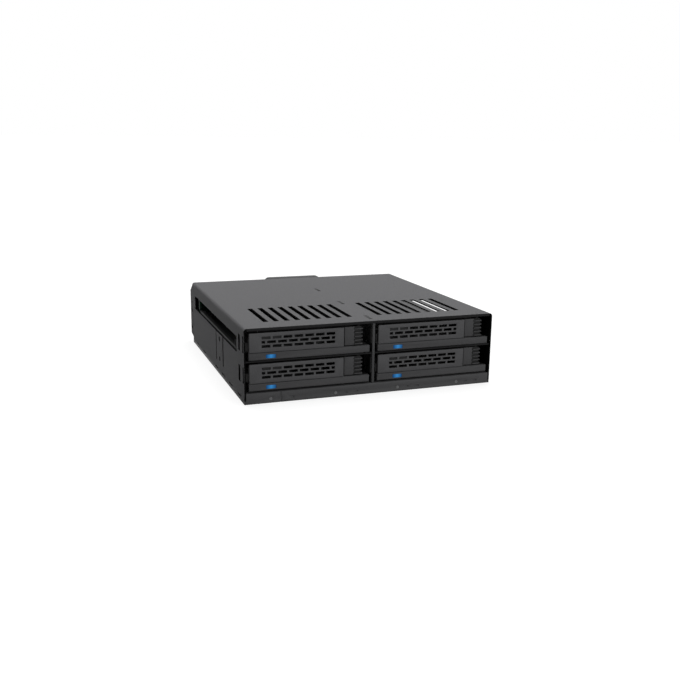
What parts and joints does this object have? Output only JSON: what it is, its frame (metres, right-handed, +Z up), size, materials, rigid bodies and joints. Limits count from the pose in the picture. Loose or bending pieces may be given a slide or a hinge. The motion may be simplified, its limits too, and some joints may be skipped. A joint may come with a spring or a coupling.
{
  "type": "hot swap drive cage",
  "caption": "Black sheet-steel bay cage with sliding drive trays, vented swing levers with sliding latches, a backplane and a rear fan.",
  "frame": {"origin": "on the underside, under the middle of the bounding box", "axes": "+X to the right seen from the front, +Y from the front face to the rear, +Z up"},
  "size_m": [0.146, 0.1606, 0.0413],
  "materials": {
    "cage_steel": "fine black texture, satin",
    "inner_steel": "black, satin",
    "sled_steel": "black, satin",
    "front_plastic": "fine moulded texture",
    "connector_plastic": "plain",
    "board": "green solder mask",
    "blue_lens": "clear blue, lit",
    "status_lens": "frosted",
    "pin_steel": "plain",
    "screw_steel": "plain",
    "fan_screw_steel": "black oxide",
    "standoff_brass": "plain",
    "fan_plastic": "plain"
  },
  "bodies": {
    "cage": {"top_cover": "cage_steel", "bottom_pan": "cage_steel", "front_strip": "front_plastic", "status_lenses": "status_lens", "status_board": "board", "centre_divider": "inner_steel", "shelf_upper": "inner_steel", "shelf_lower": "inner_steel", "rear_panel": "cage_steel", "backplane_board": "board", "board_standoffs": "standoff_brass", "board_screws": "screw_steel", "panel_screws": "screw_steel", "fan_frame": "fan_plastic", "fan_screws": "fan_screw_steel", "drive_connector_upper_left": "connector_plastic", "drive_connector_upper_right": "connector_plastic", "drive_connector_lower_left": "connector_plastic", "drive_connector_lower_right": "connector_plastic", "data_port_1": "connector_plastic", "data_port_2": "connector_plastic", "data_port_3": "connector_plastic", "data_port_4": "connector_plastic", "power_inlet_1": "connector_plastic", "power_inlet_2": "connector_plastic"},
    "fan_rotor": {"fan_rotor": "fan_plastic"},
    "tray_upper_left": {"sled_upper_left": "sled_steel", "bezel_upper_left": "front_plastic", "tray_screws_upper_left": "screw_steel", "hinge_pin_upper_left": "pin_steel", "light_lens_upper_left": "blue_lens"},
    "lever_upper_left": {"lever_upper_left": "front_plastic", "latch_spring_upper_left": "pin_steel"},
    "latch_upper_left": {"latch_upper_left": "front_plastic"},
    "tray_upper_right": {"sled_upper_right": "sled_steel", "bezel_upper_right": "front_plastic", "tray_screws_upper_right": "screw_steel", "hinge_pin_upper_right": "pin_steel", "light_lens_upper_right": "blue_lens"},
    "lever_upper_right": {"lever_upper_right": "front_plastic", "latch_spring_upper_right": "pin_steel"},
    "latch_upper_right": {"latch_upper_right": "front_plastic"},
    "tray_lower_left": {"sled_lower_left": "sled_steel", "bezel_lower_left": "front_plastic", "tray_screws_lower_left": "screw_steel", "hinge_pin_lower_left": "pin_steel", "light_lens_lower_left": "blue_lens"},
    "lever_lower_left": {"lever_lower_left": "front_plastic", "latch_spring_lower_left": "pin_steel"},
    "latch_lower_left": {"latch_lower_left": "front_plastic"},
    "tray_lower_right": {"sled_lower_right": "sled_steel", "bezel_lower_right": "front_plastic", "tray_screws_lower_right": "screw_steel", "hinge_pin_lower_right": "pin_steel", "light_lens_lower_right": "blue_lens"},
    "lever_lower_right": {"lever_lower_right": "front_plastic", "latch_spring_lower_right": "pin_steel"},
    "latch_lower_right": {"latch_lower_right": "front_plastic"}
  },
  "joints": [
    {"name": "fan_spin", "type": "hinge", "parent": "cage", "child": "fan_rotor", "pos_m": [0, 0.0732, 0.021], "axis": [0, 1, 0], "continuous": true},
    {"name": "tray_slide_upper_left", "type": "slide", "parent": "cage", "child": "tray_upper_left", "axis": [0, -1, 0], "range_m": [0, 0.12]},
    {"name": "lever_swing_upper_left", "type": "hinge", "parent": "tray_upper_left", "child": "lever_upper_left", "pos_m": [-0.06725, -0.0771, 0.03115], "axis": [0, 0, -1], "range_deg": [0, 60]},
    {"name": "latch_slide_upper_left", "type": "slide", "parent": "lever_upper_left", "child": "latch_upper_left", "axis": [-1, 0, 0], "range_m": [0, 0.002], "stiffness_N_per_m": 250, "springref_m": -0.002, "deforming": ["latch_spring_upper_left"]},
    {"name": "tray_slide_upper_right", "type": "slide", "parent": "cage", "child": "tray_upper_right", "axis": [0, -1, 0], "range_m": [0, 0.12]},
    {"name": "lever_swing_upper_right", "type": "hinge", "parent": "tray_upper_right", "child": "lever_upper_right", "pos_m": [0.00565, -0.0771, 0.03115], "axis": [0, 0, -1], "range_deg": [0, 60]},
    {"name": "latch_slide_upper_right", "type": "slide", "parent": "lever_upper_right", "child": "latch_upper_right", "axis": [-1, 0, 0], "range_m": [0, 0.002], "stiffness_N_per_m": 250, "springref_m": -0.002, "deforming": ["latch_spring_upper_right"]},
    {"name": "tray_slide_lower_left", "type": "slide", "parent": "cage", "child": "tray_lower_left", "axis": [0, -1, 0], "range_m": [0, 0.12]},
    {"name": "lever_swing_lower_left", "type": "hinge", "parent": "tray_lower_left", "child": "lever_lower_left", "pos_m": [-0.06725, -0.0771, 0.01435], "axis": [0, 0, -1], "range_deg": [0, 60]},
    {"name": "latch_slide_lower_left", "type": "slide", "parent": "lever_lower_left", "child": "latch_lower_left", "axis": [-1, 0, 0], "range_m": [0, 0.002], "stiffness_N_per_m": 250, "springref_m": -0.002, "deforming": ["latch_spring_lower_left"]},
    {"name": "tray_slide_lower_right", "type": "slide", "parent": "cage", "child": "tray_lower_right", "axis": [0, -1, 0], "range_m": [0, 0.12]},
    {"name": "lever_swing_lower_right", "type": "hinge", "parent": "tray_lower_right", "child": "lever_lower_right", "pos_m": [0.00565, -0.0771, 0.01435], "axis": [0, 0, -1], "range_deg": [0, 60]},
    {"name": "latch_slide_lower_right", "type": "slide", "parent": "lever_lower_right", "child": "latch_lower_right", "axis": [-1, 0, 0], "range_m": [0, 0.002], "stiffness_N_per_m": 250, "springref_m": -0.002, "deforming": ["latch_spring_lower_right"]}
  ]
}
